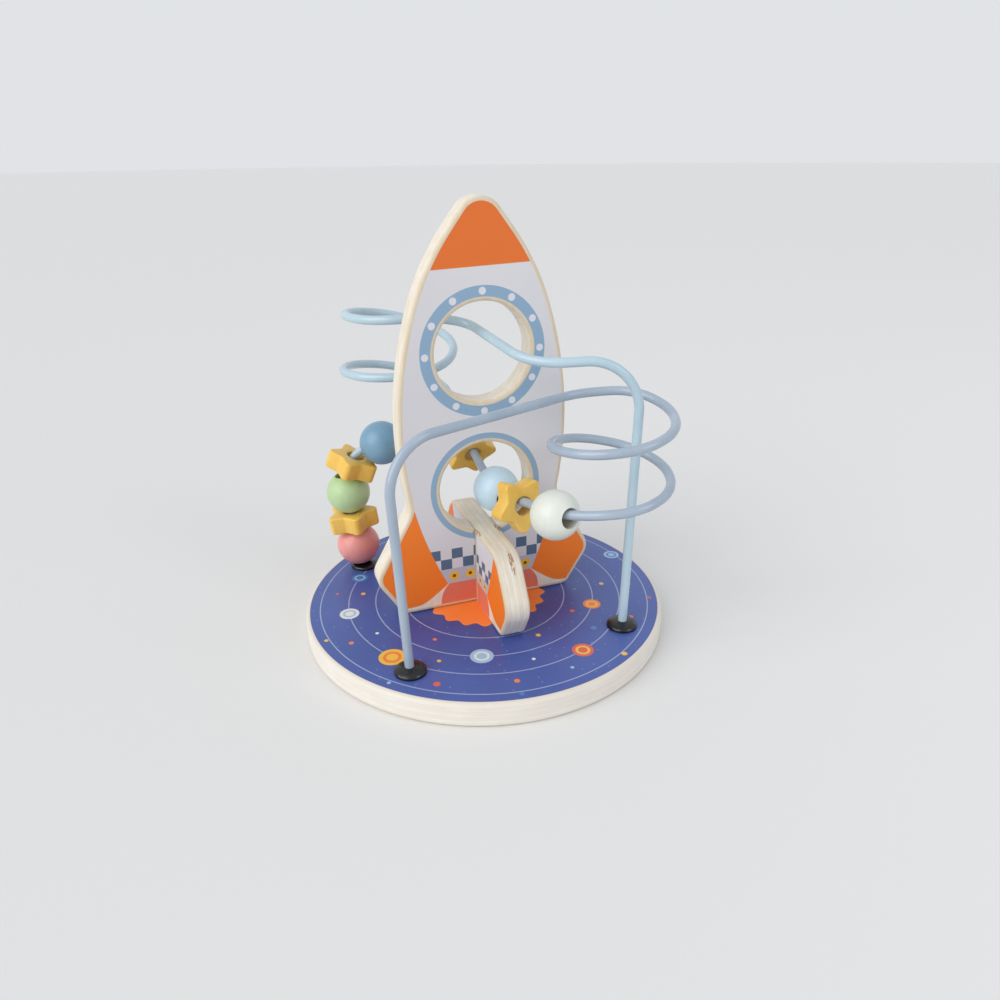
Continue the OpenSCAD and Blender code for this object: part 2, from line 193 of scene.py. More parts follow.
def grid_faces(rows, columns, close_rows, close_columns):
    """Quads between the neighbours of a grid of points, which may close on itself either way."""
    i, j = np.meshgrid(
        np.arange(rows if close_rows else rows - 1),
        np.arange(columns if close_columns else columns - 1),
        indexing="ij",
    )
    down, right = (i + 1) % rows, (j + 1) % columns
    corners = [i * columns + j, i * columns + right, down * columns + right, down * columns + j]
    return np.stack(corners, -1).reshape(-1, 4).tolist()


floor_r = 9000.0
floor_turn = np.linspace(0, 2 * np.pi, 96, endpoint=False)
floor_rim = floor_r * np.column_stack([np.cos(floor_turn), np.sin(floor_turn), 0 * floor_turn])
floor = put_mesh("floor", floor_rim, [list(range(len(floor_rim)))])
material, shader, place = new_finish("floor")
shader.inputs["Base Color"].default_value = srgb(230, 229, 226)
place.noise(3.0).bump(0.0001, 0.15).to(shader, "Normal")
shader.inputs["Roughness"].default_value = 0.75
floor.data.materials.append(material)

world = bpy.data.worlds.new("room")
world.use_nodes = True
bpy.context.scene.world = world
sky = world.node_tree.nodes["Background"]
sky.inputs["Strength"].default_value = 1.0
paths = world.node_tree.nodes.new("ShaderNodeLightPath").outputs
seen, mirrored, passed = (
    Tone(world.node_tree, paths[kind])
    for kind in ("Is Camera Ray", "Is Glossy Ray", "Is Transmission Ray")
)
sky_light, sky_shown = srgb(205, 209, 216), srgb(225, 227, 230)
seen.most(mirrored).most(passed).pick(sky_light, sky_shown).to(sky, "Color")

toy_middle = np.array([0.0, 0.0, 0.08])
for name, kind, spot, size, power, colour in (
    ("window", "SUN", (-1.0, -0.3, 0.76), math.radians(55), 1.58, (1.0, 0.98, 0.95)),
    ("lamp", "AREA", (0.7, -0.9, 0.8), 0.5, 2.0, (0.97, 0.98, 1.0)),
):
    lamp = bpy.data.objects.new(name, bpy.data.lights.new(name, kind))
    if kind == "SUN":
        lamp.data.angle = size
    else:
        lamp.data.size = size
    lamp.data.energy = power
    lamp.data.color = colour
    behind = np.array(spot) - toy_middle
    behind /= np.linalg.norm(behind)
    beside = np.cross([0.0, 0.0, 1.0], behind)
    beside /= np.linalg.norm(beside)
    aimed = np.eye(4)
    aimed[:3] = np.column_stack([beside, np.cross(behind, beside), behind, spot])
    lamp.matrix_world = Matrix(aimed.tolist())
    bpy.context.scene.collection.objects.link(lamp)


# Base board: a round of birch plywood with an eased edge. Its top is printed to 2 mm from
# the rim and lacquered; rim and underside are bare.
def birch(place, stretch, across):
    """Bare birch plywood: streaks from noise that is stretched along the grain, fine pores, and
    plies across the thickness, each a little lighter or darker, with thin glue lines. Gives its
    colour, its colour tanned where the edges are eased, and the height of its grain."""
    ply_t = 1.45
    grain = place.stretched(stretch)
    streak = grain.noise(3.0, 5.0)
    pore = grain.noise(0.6, 2.0)
    ply = across / ply_t + 0.5
    depth = ply - ply.floor()
    odd = ply.floor() / 2
    odd = (odd - odd.floor()).rise(0.2, 0.3)
    glue = abs(depth - 0.5).rise(0.42, 0.49) * streak.rise(0.2, 0.6)
    wood = streak.rise(0.3, 0.72).pick(srgb(241, 235, 222), srgb(232, 221, 202))
    wood = (odd * 0.3).pick(wood, srgb(224, 206, 176))
    wood = (glue * 0.35).pick(wood, srgb(186, 158, 118))
    wood = (pore.rise(0.6, 0.8) * 0.2).pick(wood, srgb(200, 176, 138))
    eased = (abs(across).rise(4.6, 5.7) * 0.5).pick(wood, srgb(206, 178, 132))
    return wood, eased, streak * 0.5 + pore * 0.5


def disc_mask(flat, spot, radius, blur=0.12):
    """1 inside a circle round a spot in the plane, 0 outside."""
    return flat.away((*spot, 0.0)).rise(radius + blur, radius - blur)


def polar(radius, degrees):
    """The spot in the plane at a radius and an angle."""
    return radius * math.cos(math.radians(degrees)), radius * math.sin(math.radians(degrees))


base_print_r, base_top, speck_gap = 88.0, 12.0, 6.5
rosette_r, scallops, scallop_depth = 30.0, 20.0, 1.3
material, shader, place = new_finish("base_board")
x, y, z = place.parts()
flat = place.stretched((1.0, 1.0, 0.0))
out = flat.node("ShaderNodeVectorMath", {"operation": "LENGTH"}, {0: flat}, "Value")
around = x.math("ARCTAN2", y, x)
_, eased, fibre = birch(place, (0.25, 0.25, 1.0), z - base_top / 2)
eased = (fibre * 0.4 + 0.25).pick(eased, srgb(235, 233, 230))
cloud = flat.noise(60.0, 4.0)
ink = out.rise(15.0, base_print_r).pick(srgb(50, 62, 138), srgb(66, 90, 162))
ink = (cloud.rise(0.35, 0.75) * 0.5).pick(ink, srgb(84, 104, 174))
speck = flat.node(
    "ShaderNodeTexVoronoi",
    {"voronoi_dimensions": "2D"},
    {"Vector": flat, "Scale": 1 / speck_gap},
)
speck_tint = Tone(speck.tree, speck.socket.node.outputs["Color"]).parts()[0]
speck = speck.rise(0.075, 0.05) * speck_tint.rise(0.45, 0.9)
ink = (speck * 0.5).pick(ink, srgb(150, 158, 205))
for ring_r in (41.0, 55.5, 69.0, 83.0):
    ink = (abs(out - ring_r).rise(0.36, 0.2) * 0.75).pick(ink, srgb(176, 187, 214))
orange, yellow, coral = srgb(240, 132, 58), srgb(246, 190, 70), srgb(222, 98, 78)
pale, mist, sea = srgb(226, 226, 222), srgb(160, 194, 224), srgb(72, 128, 186)
for ring_r, degrees, radius, colour, heart in (
    (69.0, 214, 6.2, yellow, orange), (55.5, 250, 5.4, mist, pale), (69.0, 292, 5.0, coral, yellow),
    (55.5, 328, 4.4, orange, yellow), (69.0, 176, 4.8, pale, mist), (55.5, 28, 5.4, orange, coral),
    (81.5, 10, 4.2, mist, sea), (69.0, 64, 5.8, yellow, pale), (55.5, 108, 4.8, coral, orange),
    (69.0, 146, 4.4, sea, mist),
):
    spot = polar(ring_r, degrees)
    ink = disc_mask(flat, spot, radius).pick(ink, colour)
    ring = disc_mask(flat, spot, 0.68 * radius) - disc_mask(flat, spot, 0.44 * radius)
    ink = ring.pick(ink, heart)
for ring_r, degrees, radius, colour in (
    (78.0, 236, 1.6, coral), (62.0, 232, 1.0, yellow), (75.5, 262, 1.3, orange),
    (62.5, 272, 0.9, pale), (47.0, 284, 1.2, yellow), (76.0, 282, 0.9, mist),
    (84.5, 300, 1.4, yellow), (62.5, 308, 1.5, sea), (76.0, 322, 1.1, orange),
    (47.5, 318, 1.3, coral), (62.0, 348, 1.2, yellow), (76.0, 346, 0.9, pale),
    (75.5, 196, 1.2, orange), (62.0, 196, 0.9, pale), (84.5, 222, 0.9, mist),
    (47.5, 222, 1.0, orange), (62.5, 160, 1.2, yellow), (76.0, 160, 0.9, coral),
    (75.5, 84, 1.4, orange), (62.0, 84, 1.0, mist), (62.0, 46, 1.3, sea),
    (76.0, 40, 1.0, yellow), (47.5, 66, 1.1, pale), (76.0, 118, 1.2, mist),
    (62.0, 128, 1.0, orange), (84.5, 190, 1.0, yellow), (84.5, 262, 1.1, sea),
    (84.5, 336, 1.0, coral), (47.5, 196, 1.1, mist), (47.0, 344, 1.0, sea),
    (47.5, 130, 1.2, yellow), (84.5, 130, 1.1, orange),
):
    ink = disc_mask(flat, polar(ring_r, degrees), radius).pick(ink, colour)
scallop = around.math("COSINE", around * scallops) * scallop_depth + rosette_r
ink = (out - scallop).rise(0.12, -0.12).pick(ink, srgb(255, 141, 60))
rim_blur, skin_low, skin_high = 0.15, base_top - 0.06, base_top - 0.02
printed = out.rise(base_print_r + rim_blur, base_print_r - rim_blur) * z.rise(skin_low, skin_high)
printed.pick(eased, ink).to(shader, "Base Color")
(printed * -0.2 + 0.58 + fibre * 0.05).to(shader, "Roughness")
(fibre * (1 - printed * 0.8)).bump(0.00006, 0.5).to(shader, "Normal")
shader.inputs["Coat Roughness"].default_value = 0.3
(printed * 0.25).to(shader, "Coat Weight")
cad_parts["base_disc"].data.materials.clear()
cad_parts["base_disc"].data.materials.append(material)


# Rocket board: 12 mm birch plywood, sawn to a rocket's outline with two portholes and eased
# edges. Both faces are printed to 2 mm from the edges, which are bare and show the plies.
def hull_print(across, height, bare):
    """The print that both boards share near the base, by the distance from its middle and the
    height above the base: white hull, checks, a band with rivets, fins and nozzle. With s the
    share of a fin's height, its inner edge is 22.1 + 18.6 s - 5.2 s s from the middle. The
    nozzle narrows upwards with the cube of the height."""
    line_blur, edge_blur = 0.05, 0.1
    band_foot, band_top = 13.0, 21.1
    check_w, check_h, check_shift = 5.6, 5.45, 2.95
    checks_top = band_top + 2 * check_h
    rivet_level, rivet_places = 16.9, (10.5, 18.8)
    rivet_square, hole_square = (6.5, 5.8), (1.0, 0.7)
    fin_base, fin_rise, fin_top, fin_lean = 12.8, 41.2, 54.5, 1.2
    foot_start, foot_slope, foot_least, foot_blend = 29.1, 0.738, 3.2, 5.0
    nozzle_half, nozzle_rim, nozzle_flare = 26.0, 0.6, 4.5
    beside = abs(across)
    colour = beside.rise(0.0, 60.0).pick(srgb(222, 220, 222), srgb(218, 216, 219))

    column = ((across + check_shift) / check_w).floor()
    row = ((height - band_top) / check_h).floor()
    even = (column + row) / 2
    even = (even - even.floor()).rise(0.3, 0.2)
    checks = even * height.rise(band_top - line_blur, band_top + line_blur)
    checks = checks * height.rise(checks_top + line_blur, checks_top - line_blur)
    colour = checks.pick(colour, srgb(84, 110, 136))

    band = height.rise(band_foot - line_blur, band_foot + line_blur)
    band = band * height.rise(band_top + line_blur, band_top - line_blur)
    colour = band.pick(colour, srgb(187, 192, 206))
    rivet_h = height - rivet_level
    for rivet_place in rivet_places:
        rivet = beside - rivet_place
        rivet = rivet * rivet + rivet_h * rivet_h
        colour = rivet.rise(*rivet_square).pick(colour, srgb(246, 190, 46))
        colour = rivet.rise(*hole_square).pick(colour, srgb(96, 84, 52))

    share = (height - fin_base) / fin_rise
    fin_edge = share * 18.6 - share * share * 5.2 + 22.1
    fin = (abs(across + share * fin_lean) - fin_edge).rise(-edge_blur, edge_blur)
    fin = fin * height.rise(fin_top + edge_blur, fin_top - edge_blur)
    colour = fin.pick(colour, srgb(251, 128, 28))
    fin_foot = foot_start - beside * foot_slope
    fin_foot = fin_foot.math("SMOOTH_MAX", fin_foot, foot_least, foot_blend)
    under_band = height.rise(band_foot + line_blur, band_foot - line_blur)
    below_fin = (height - fin_foot).rise(edge_blur, -edge_blur) * under_band
    colour = below_fin.pick(colour, bare)

    low = height / band_foot
    nozzle_edge = beside + low * low * low * nozzle_flare - nozzle_half
    nozzle = nozzle_edge.rise(edge_blur, -edge_blur) * under_band
    rim = (nozzle_edge - nozzle_rim).rise(edge_blur, -edge_blur) * under_band
    return nozzle.pick(rim.pick(colour, srgb(238, 226, 220)), srgb(226, 126, 100))


def arcs(before, corners, after, radii, steps):
    """Points on the arcs that round off a path's corners: from where the radius touches one side,
    hub + r (sin a ahead - cos a inward), with a up to the turn."""
    ahead = corners - before
    ahead = ahead / np.linalg.norm(ahead, axis=1, keepdims=True)
    leaving = after - corners
    leaving = leaving / np.linalg.norm(leaving, axis=1, keepdims=True)
    cosine = np.clip((ahead * leaving).sum(1), -1, 1)
    turn = np.arccos(cosine)
    inward = leaving - cosine[:, None] * ahead
    inward = inward / np.linalg.norm(inward, axis=1, keepdims=True)
    start = corners - (radii * np.tan(turn / 2))[:, None] * ahead
    hub = start + radii[:, None] * inward
    a = turn[:, None, None] * np.linspace(0, 1, steps)[None, :, None]
    swing = np.sin(a) * ahead[:, None] - np.cos(a) * inward[:, None]
    return (hub[:, None] + radii[:, None, None] * swing).reshape(-1, corners.shape[1])


def outline(half, middle, steps=28):
    """A closed outline, mirrored about the upright, from its right-hand corners [x, height, radius],
    going up, with the corners that lie on the upright after them."""
    half, middle = np.array(half, float), np.array(middle, float).reshape(-1, 3)
    loop = np.vstack([half, middle, (half * [-1, 1, 1])[::-1]])
    corners = loop[:, :2]
    return arcs(np.roll(corners, 1, 0), corners, np.roll(corners, -1, 0), loop[:, 2], steps)


def outward(line):
    """Unit normals of a closed line that has its board on its left."""
    ahead = np.roll(line, -1, 0) - np.roll(line, 1, 0)
    ahead = ahead / np.linalg.norm(ahead, axis=1, keepdims=True)
    return np.column_stack([ahead[:, 1], -ahead[:, 0]])


def board(name, lines, eased, stand):
    """A board from closed lines, the outer one first and its holes after it. Its edge is a
    profile carried along each line: line - r (1 - sin a) outward, with a quarter round at both
    faces where the line is eased. The faces between the lines are flat. The attribute bare is 1
    from the edge to where the print starts. Stand turns [along, height, thickness] into the
    place of each point; it is a pure turn and shift, so the faces keep pointing outwards."""
    round_r, print_inset, print_blur = 1.5, 2.0, 0.05
    quarter = np.linspace(0, np.pi / 2, 8)
    inset = np.concatenate([
        [print_inset + print_blur, print_inset - print_blur],
        round_r * (1 - np.sin(quarter)),
    ])
    rim = np.concatenate([[0, 0], round_r * (1 - np.cos(quarter))]) - board_half
    insets, levels = np.concatenate([inset, inset[::-1]]), np.concatenate([rim, -rim[::-1]])
    unprinted = np.ones(len(levels))
    unprinted[[0, -1]] = 0
    bare = np.concatenate([np.repeat(unprinted, len(line)) for line in lines])
    points, faces, fronts, backs, count = [], [], [], [], 0
    for line, ease in zip(lines, eased):
        edge = line[None] - insets[:, None, None] * (ease[:, None] * outward(line))[None]
        depth = np.broadcast_to(levels[:, None, None], (*edge.shape[:2], 1))
        points.append(np.concatenate([edge, depth], -1).reshape(-1, 3))
        faces += (np.array(grid_faces(*edge.shape[:2], False, True)) + count).tolist()
        fronts.append(np.arange(len(line)) + count)
        backs.append(np.arange(len(line)) + count + (len(levels) - 1) * len(line))
        count += edge.shape[0] * edge.shape[1]
    points = np.vstack(points)
    ring = np.concatenate(fronts)
    loops = [[Vector(p) for p in points[front].tolist()] for front in fronts]
    triangles = np.array(tessellate_polygon(loops))
    corners = points[ring][triangles][:, :, :2]
    first, second = corners[:, 1] - corners[:, 0], corners[:, 2] - corners[:, 0]
    area = first[:, 0] * second[:, 1] - first[:, 1] * second[:, 0]
    triangles = np.where(area[:, None] > 0, triangles[:, ::-1], triangles)[np.abs(area) > 1e-9]
    flat_faces = ring[triangles].tolist() + np.concatenate(backs)[triangles[:, ::-1]].tolist()
    piece = put_mesh(name, stand(points), faces + flat_faces)
    smooth = np.concatenate([np.ones(len(faces), bool), np.zeros(len(flat_faces), bool)])
    piece.data.polygons.foreach_set("use_smooth", smooth)
    border = piece.data.attributes.new("bare", "FLOAT", "POINT")
    border.data.foreach_set("value", bare.astype(np.float32))
    return piece


board_half = 6.0
upper_port, lower_port, port_r = 127.0, 62.0, 22.5
nose_slope, nose_r, shoulder_h, shoulder_r = math.radians(37), 11.0, 164.5, 110.0
nose_corner = 192.5 + nose_r * (1 / math.sin(nose_slope) - 1)
shoulder = np.array([(nose_corner - shoulder_h) * math.tan(nose_slope), shoulder_h])
belly, waist = np.array([45.75, 103.0]), np.array([37.0, 54.5])
lower_side, upper_side = belly - waist, shoulder - belly
lower_l, upper_l = np.linalg.norm(lower_side), np.linalg.norm(upper_side)
belly_turn = math.acos(lower_side @ upper_side / (lower_l * upper_l))
shoulder_turn = math.acos(upper_side @ [-math.sin(nose_slope), math.cos(nose_slope)] / upper_l)
setback = min(0.9 * lower_l, upper_l - shoulder_r * math.tan(shoulder_turn / 2) - 1)
rocket_line = outline([
    [43.5, 0.0, 6.0],
    [56.25, 20.5, 8.5],
    [*waist, 11.0],
    [*belly, setback / math.tan(belly_turn / 2)],
    [*shoulder, shoulder_r],
], [0.0, nose_corner, nose_r])
clockwise = np.linspace(0, -2 * np.pi, 144, endpoint=False)
upper_hole = np.column_stack([port_r * np.cos(clockwise), upper_port + port_r * np.sin(clockwise)])
slot_half, slot_floor, sharp = 6.1, 20.0, 0.03
slot_a = math.asin(slot_half / port_r)
open_arc = np.linspace(-np.pi / 2 - slot_a, -2.5 * np.pi + slot_a, 140)
lower_hole = np.vstack([
    np.column_stack([port_r * np.cos(open_arc), lower_port + port_r * np.sin(open_arc)]),
    [[slot_half, slot_floor], [-slot_half, slot_floor]],
])
lower_ease = np.concatenate([[sharp], np.ones(len(open_arc) - 2), [sharp, sharp, sharp]])
rocket = board(
    "rocket_face",
    [rocket_line, upper_hole, lower_hole],
    [np.ones(len(rocket_line)), np.ones(len(upper_hole)), lower_ease],
    lambda p: np.column_stack([p[:, 0], -p[:, 2], p[:, 1] + base_top]),
)
material, shader, place = new_finish("rocket_board")
x, y, z = place.parts()
height = z - base_top
wood, eased, fibre = birch(place, (1.0, 1.0, 0.18), y)
hull_shift, nose_level, nose_tilt, nose_blur = 1.5, 164.4, 0.029, 0.1
dot_ring, dot_r = 27.0, 1.65
colour = hull_print(x - hull_shift, height, wood)
nose = (height - x * nose_tilt).rise(nose_level - nose_blur, nose_level + nose_blur)
colour = nose.pick(colour, srgb(232, 114, 34))
upright_view = place.node("ShaderNodeCombineXYZ", {}, {"X": x, "Y": height})
for port_h, ring_out in ((upper_port, 29.4), (lower_port, 27.3)):
    colour = disc_mask(upright_view, (0.0, port_h), ring_out).pick(colour, srgb(142, 172, 198))
for turn in np.radians(np.arange(0, 360, 30)):
    spot = (dot_ring * math.sin(turn), upper_port + dot_ring * math.cos(turn))
    colour = disc_mask(upright_view, spot, dot_r).pick(colour, srgb(224, 223, 229))
printed = 1 - place.attribute("bare")
printed.pick(eased, colour).to(shader, "Base Color")
(printed * -0.12 + 0.56 + fibre * 0.06).to(shader, "Roughness")
(fibre * (1 - printed * 0.85)).bump(0.00006, 0.5).to(shader, "Normal")
rocket.data.materials.append(material)
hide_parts("rocket_plate")
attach(rocket, "maze")


# Fin board: the same plywood, set across the rocket board in a halving joint, with the lower
# part of the rocket's print on both faces, bare next to the joint. Brown knots show in its
# upper edge.
fin_half = np.array([[41.5, 0.0, 6.0], [51.5, 17.0, 11.0], [35.5, 40.5, 14.0]])
notch = np.array([[6.1, 20.1, 0.2], [6.1, 0.0, 0.2]])
fin_line = outline(np.vstack([notch, fin_half]), np.empty((0, 3)))
corner_ease = [sharp, sharp, 1, 1, 1, 1, 1, 1, sharp, sharp]
fin_ease = np.repeat(corner_ease, len(fin_line) // len(corner_ease))
fins = board(
    "fin_face",
    [fin_line],
    [fin_ease],
    lambda p: np.column_stack([p[:, 2], p[:, 0], p[:, 1] + base_top]),
)
material, shader, place = new_finish("fin_board")
x, y, z = place.parts()
height = z - base_top
wood, eased, fibre = birch(place, (1.0, 0.3, 0.3), x)
ragged = place.stretched((1.0, 0.3, 0.3)).noise(0.7, 4.0)
knot_flat = 5.0
flattened = place.stretched((knot_flat, 1.0, 1.0))
for knot_x, knot_y, knot_z, knot_r in (
    (1.2, -37.5, 48.8, 8.0), (4.6, -8.0, 52.5, 6.0), (-5.9, -10.0, 51.8, 6.0),
):
    away = flattened.away((knot_flat * knot_x, knot_y, knot_z))
    knot = (away / knot_r).rise(1.0, 0.5) * ragged.rise(0.38, 0.56)
    eased = (knot * 0.85).pick(eased, srgb(160, 106, 58))
seam_start, seam_end, seam_fade = 7.4, 7.6, 8.0
beside = abs(y)
printed = (1 - place.attribute("bare")) * beside.rise(seam_start, seam_end)
seam = beside.rise(seam_fade, seam_start) * abs(x).rise(board_half - 0.3, board_half - 0.05)
eased = seam.pick(eased, srgb(214, 190, 150))
print_middle, print_w, print_foot, print_h = 3.4, 0.85, 1.3, 0.83
colour = hull_print((beside - print_middle) / -print_w, (height - print_foot) / print_h, wood)
printed.pick(eased, colour).to(shader, "Base Color")
(printed * -0.12 + 0.56 + fibre * 0.06).to(shader, "Roughness")
(fibre * (1 - printed * 0.85)).bump(0.00006, 0.5).to(shader, "Normal")
fins.data.materials.append(material)
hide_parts("fin_plate")
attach(fins, "maze")


# Screws: four countersunk steel wood screws under the base, which hold both boards.
# They are bright, with fine lighter and darker streaks along them.
material, shader, place = new_finish("screws")
streak = place.stretched((1.0, 1.0, 0.0)).noise(0.5)
streak.rise(0.3, 0.7).pick(srgb(176, 174, 168), srgb(204, 202, 198)).to(shader, "Base Color")
(streak * 0.2 + 0.25).to(shader, "Roughness")
shader.inputs["Metallic"].default_value = 1.0
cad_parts["plate_screws"].data.materials.clear()
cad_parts["plate_screws"].data.materials.append(material)


# Wires: 4.25 mm steel wire, bent cold to bends and coils and coated in glossy paint, the upper
# one pale aqua and the lower one lavender. Their ends stand in the base.
def coil(centre, top, drop, drift, lean, first, last):
    """Corners of a coil's octagon, each with its bend radius: a turn goes down by drop, and its
    centre drifts along X, while the loops lean along X and Y."""
    coil_r, bend_share = 26.5, 0.96
    k = np.arange(first, last + 1)
    a = np.radians(45.0 * k)
    dx, dy = coil_r / np.cos(np.pi / 8) * np.array([np.cos(a), -np.sin(a)])
    corner_x, corner_y = centre[0] + drift * k / 8 + dx, centre[1] + dy
    corner_z = top - drop * k / 8 + lean[0] * dx + lean[1] * dy
    return np.column_stack([corner_x, corner_y, corner_z, np.full(len(k), bend_share * coil_r)])


def wire(name, route, sides=20, spacing=1.3):
    """A tube of wire along a route of [x, y, z, bend radius], at even spacing: each ring is the
    centre + r (cos t side + sin t up), square to the path. The rings' sides are taken from the
    direction that the path heads along least."""
    corners, radii = route[:, :3], route[:, 3]
    bends = arcs(corners[:-2], corners[1:-1], corners[2:], radii[1:-1], 40)
    path = np.vstack([corners[:1], bends, corners[-1:]])
    way = np.concatenate([[0], np.cumsum(np.linalg.norm(np.diff(path, axis=0), axis=1))])
    even = np.linspace(0, way[-1], int(way[-1] / spacing))
    path = np.column_stack([np.interp(even, way, path[:, i]) for i in range(3)])
    ahead = np.gradient(path, axis=0)
    ahead /= np.linalg.norm(ahead, axis=1, keepdims=True)
    turns, heights = np.meshgrid(np.arange(0, np.pi, 0.1), np.arange(-1.4, 1.4, 0.1))
    tries = np.column_stack([
        (np.cos(heights) * np.cos(turns)).ravel(),
        (np.cos(heights) * np.sin(turns)).ravel(),
        np.sin(heights).ravel(),
    ])
    apart = tries[np.abs(tries @ ahead.T).max(1).argmin()]
    side = np.cross(ahead, apart)
    side /= np.linalg.norm(side, axis=1, keepdims=True)
    up = np.cross(ahead, side)
    t = np.linspace(0, 2 * np.pi, sides, endpoint=False)[None, :, None]
    rings = path[:, None] + wire_r * (np.cos(t) * side[:, None] + np.sin(t) * up[:, None])
    faces = grid_faces(len(path), sides, False, True)
    last = (len(path) - 1) * sides
    faces += [list(range(sides))[::-1], list(range(last, last + sides))]
    piece = put_mesh(name, rings.reshape(-1, 3), faces)
    piece.data.shade_smooth()
    return piece


wire_r, foot, wire_end = 2.125, 52.0, 5.0
upper_z, lower_z, arch_z = base_top + upper_port, base_top + lower_port, base_top + 106.0
# From the front right foot over the arch, through the upper porthole, down the rear coil and
# to the rear left foot
upper_route = np.vstack([
    [[foot, -foot, wire_end, 0], [foot + 2.5, -foot, upper_z + 3, 22]],
    [[10, -37, upper_z + 1, 26], [-2, 17, upper_z + 10.5, 15]],
    coil((29 - foot, foot - 6), upper_z + 22, 26.6, -3.2, (-0.07, 0.1), 2, 14),
    [[-7, 67, upper_z - 27, 20], [1, 33, upper_z - 34, 12]],
    [[-foot - 7.5, foot + 1, upper_z - 64, 22], [-foot, foot, wire_end, 0]],
])
# From the front left foot over the arch, down the front coil, through the lower porthole and
# to the rear right foot
lower_route = np.vstack([
    [[-foot, -foot, wire_end, 0], [-foot - 4.5, -foot, arch_z, 22], [42, -16, arch_z + 0.5, 26]],
    coil((foot - 7, 6 - foot), arch_z - 0.5, 27.5, 0.0, (-0.03, 0.01), -1, 10),
    [[18, -63, lower_z + 5.5, 32], [7.5, 2, lower_z - 7, 60], [4, 52, lower_z + 13.5, 16]],
    [[foot + 4, foot + 2, lower_z + 13, 22], [foot, foot, wire_end, 0]],
])
for name, node, route, tint, shade in (
    ("upper_wire_coat", "upper_wire", upper_route, srgb(186, 210, 220), srgb(176, 200, 212)),
    ("lower_wire_coat", "lower_wire", lower_route, srgb(168, 183, 197), srgb(158, 172, 188)),
):
    piece = wire(name, route)
    material, shader, place = new_finish(name)
    run = place.stretched((1.0, 1.0, 0.4)).noise(14.0, 4.0)
    grain = place.noise(0.8, 2.0)
    (run.rise(0.3, 0.7) * 0.8 + grain * 0.2).pick(tint, shade).to(shader, "Base Color")
    (run * 0.12 + 0.2).to(shader, "Roughness")
    (place.noise(9.0) * 0.7 + grain * 0.3).bump(0.00008, 0.15).to(shader, "Normal")
    shader.inputs["Coat Weight"].default_value = 0.35
    shader.inputs["Coat Roughness"].default_value = 0.1
    piece.data.materials.append(material)
    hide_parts(node)
    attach(piece, "maze")


# Caps: a moulded black cap round each wire's foot, with a spigot in the base's hole.
# The plastic is glossy and slightly uneven, with a little dust.
material, shader, place = new_finish("caps")
dust = place.noise(0.7, 6.0).rise(0.62, 0.78) * place.noise(6.0).rise(0.45, 0.65)
(dust * 0.4).pick(srgb(14, 14, 17), srgb(96, 96, 98)).to(shader, "Base Color")
(place.noise(1.6, 5.0) * 0.08 + dust * 0.3 + 0.04).to(shader, "Roughness")
(place.noise(2.6, 2.0) * 0.8 + place.noise(0.5, 2.0) * 0.2).bump(0.0006, 0.6).to(shader, "Normal")
shader.inputs["Specular IOR Level"].default_value = 0.6
for node in ("cap_front_left", "cap_front_right", "cap_rear_left", "cap_rear_right"):
    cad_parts[node].data.materials.clear()
    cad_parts[node].data.materials.append(material)


# Balls: turned beech balls with a drilled bore, dipped in satin paint. The bore's wall has
# painted shade: the paint colour is mixed towards a wood brown there.
def about_z(angle):
    """The turn by an angle about Z."""
    cosine, sine = np.cos(angle), np.sin(angle)
    return np.array([[cosine, -sine, 0], [sine, cosine, 0], [0, 0, 1]])


def placed(points, spot, along, spin=0.0):
    """Points turned by spin about Z, then with Z turned to a heading, then moved to a spot."""
    along = np.array(along) / np.linalg.norm(along)
    tip, swing = np.arccos(along[2]), np.arctan2(along[1], along[0])
    about_y = np.array([[np.cos(tip), 0, np.sin(tip)], [0, 1, 0], [-np.sin(tip), 0, np.cos(tip)]])
    return points @ (about_z(swing) @ about_y @ about_z(np.radians(spin))).T + np.array(spot)


def bead(name, rings, inner):
    """A bored bead from rings of points round its section, closed both ways. The rings go up its
    outside and down its bore, so that the faces point outwards. The attribute bore is 1 on the
    rings of the bore's wall."""
    rows, columns = rings.shape[:2]
    piece = put_mesh(name, rings.reshape(-1, 3), grid_faces(rows, columns, True, True))
    depth = piece.data.attributes.new("bore", "FLOAT", "POINT")
    depth.data.foreach_set("value", np.repeat(inner, columns).astype(np.float32))
    piece.data.shade_smooth()
    piece.data.set_sharp_from_angle(angle=math.radians(50))
    return piece


def bead_finish(name, tint, shade):
    """Satin paint on turned wood: soft uneven colour, faint grain under the paint, and painted
    shade, a wood brown mixed into the paint, where the bore attribute is 1."""
    material, shader, place = new_finish(name)
    bore = place.attribute("bore")
    grain = place.stretched((1.0, 1.0, 0.25)).noise(1.4, 4.0)
    uneven = place.noise(12.0, 2.0).rise(0.3, 0.7) * 0.6 + grain.rise(0.4, 0.7) * 0.4
    paint = uneven.pick(tint, shade)
    # Painted shade inside the bore: this wood brown is mixed into the paint by the bore attribute.
    wood = grain.rise(0.3, 0.7).pick(srgb(214, 186, 146), srgb(186, 152, 110))
    (bore * 0.3).pick(paint, wood).to(shader, "Base Color")
    (grain * 0.12 + 0.3 + bore * 0.2).to(shader, "Roughness")
    (place.noise(0.9, 2.0) * 0.4 + grain * 0.6).bump(0.00008, 0.4).to(shader, "Normal")
    shader.inputs["Coat Weight"].default_value = 0.15
    shader.inputs["Coat Roughness"].default_value = 0.25
    return material


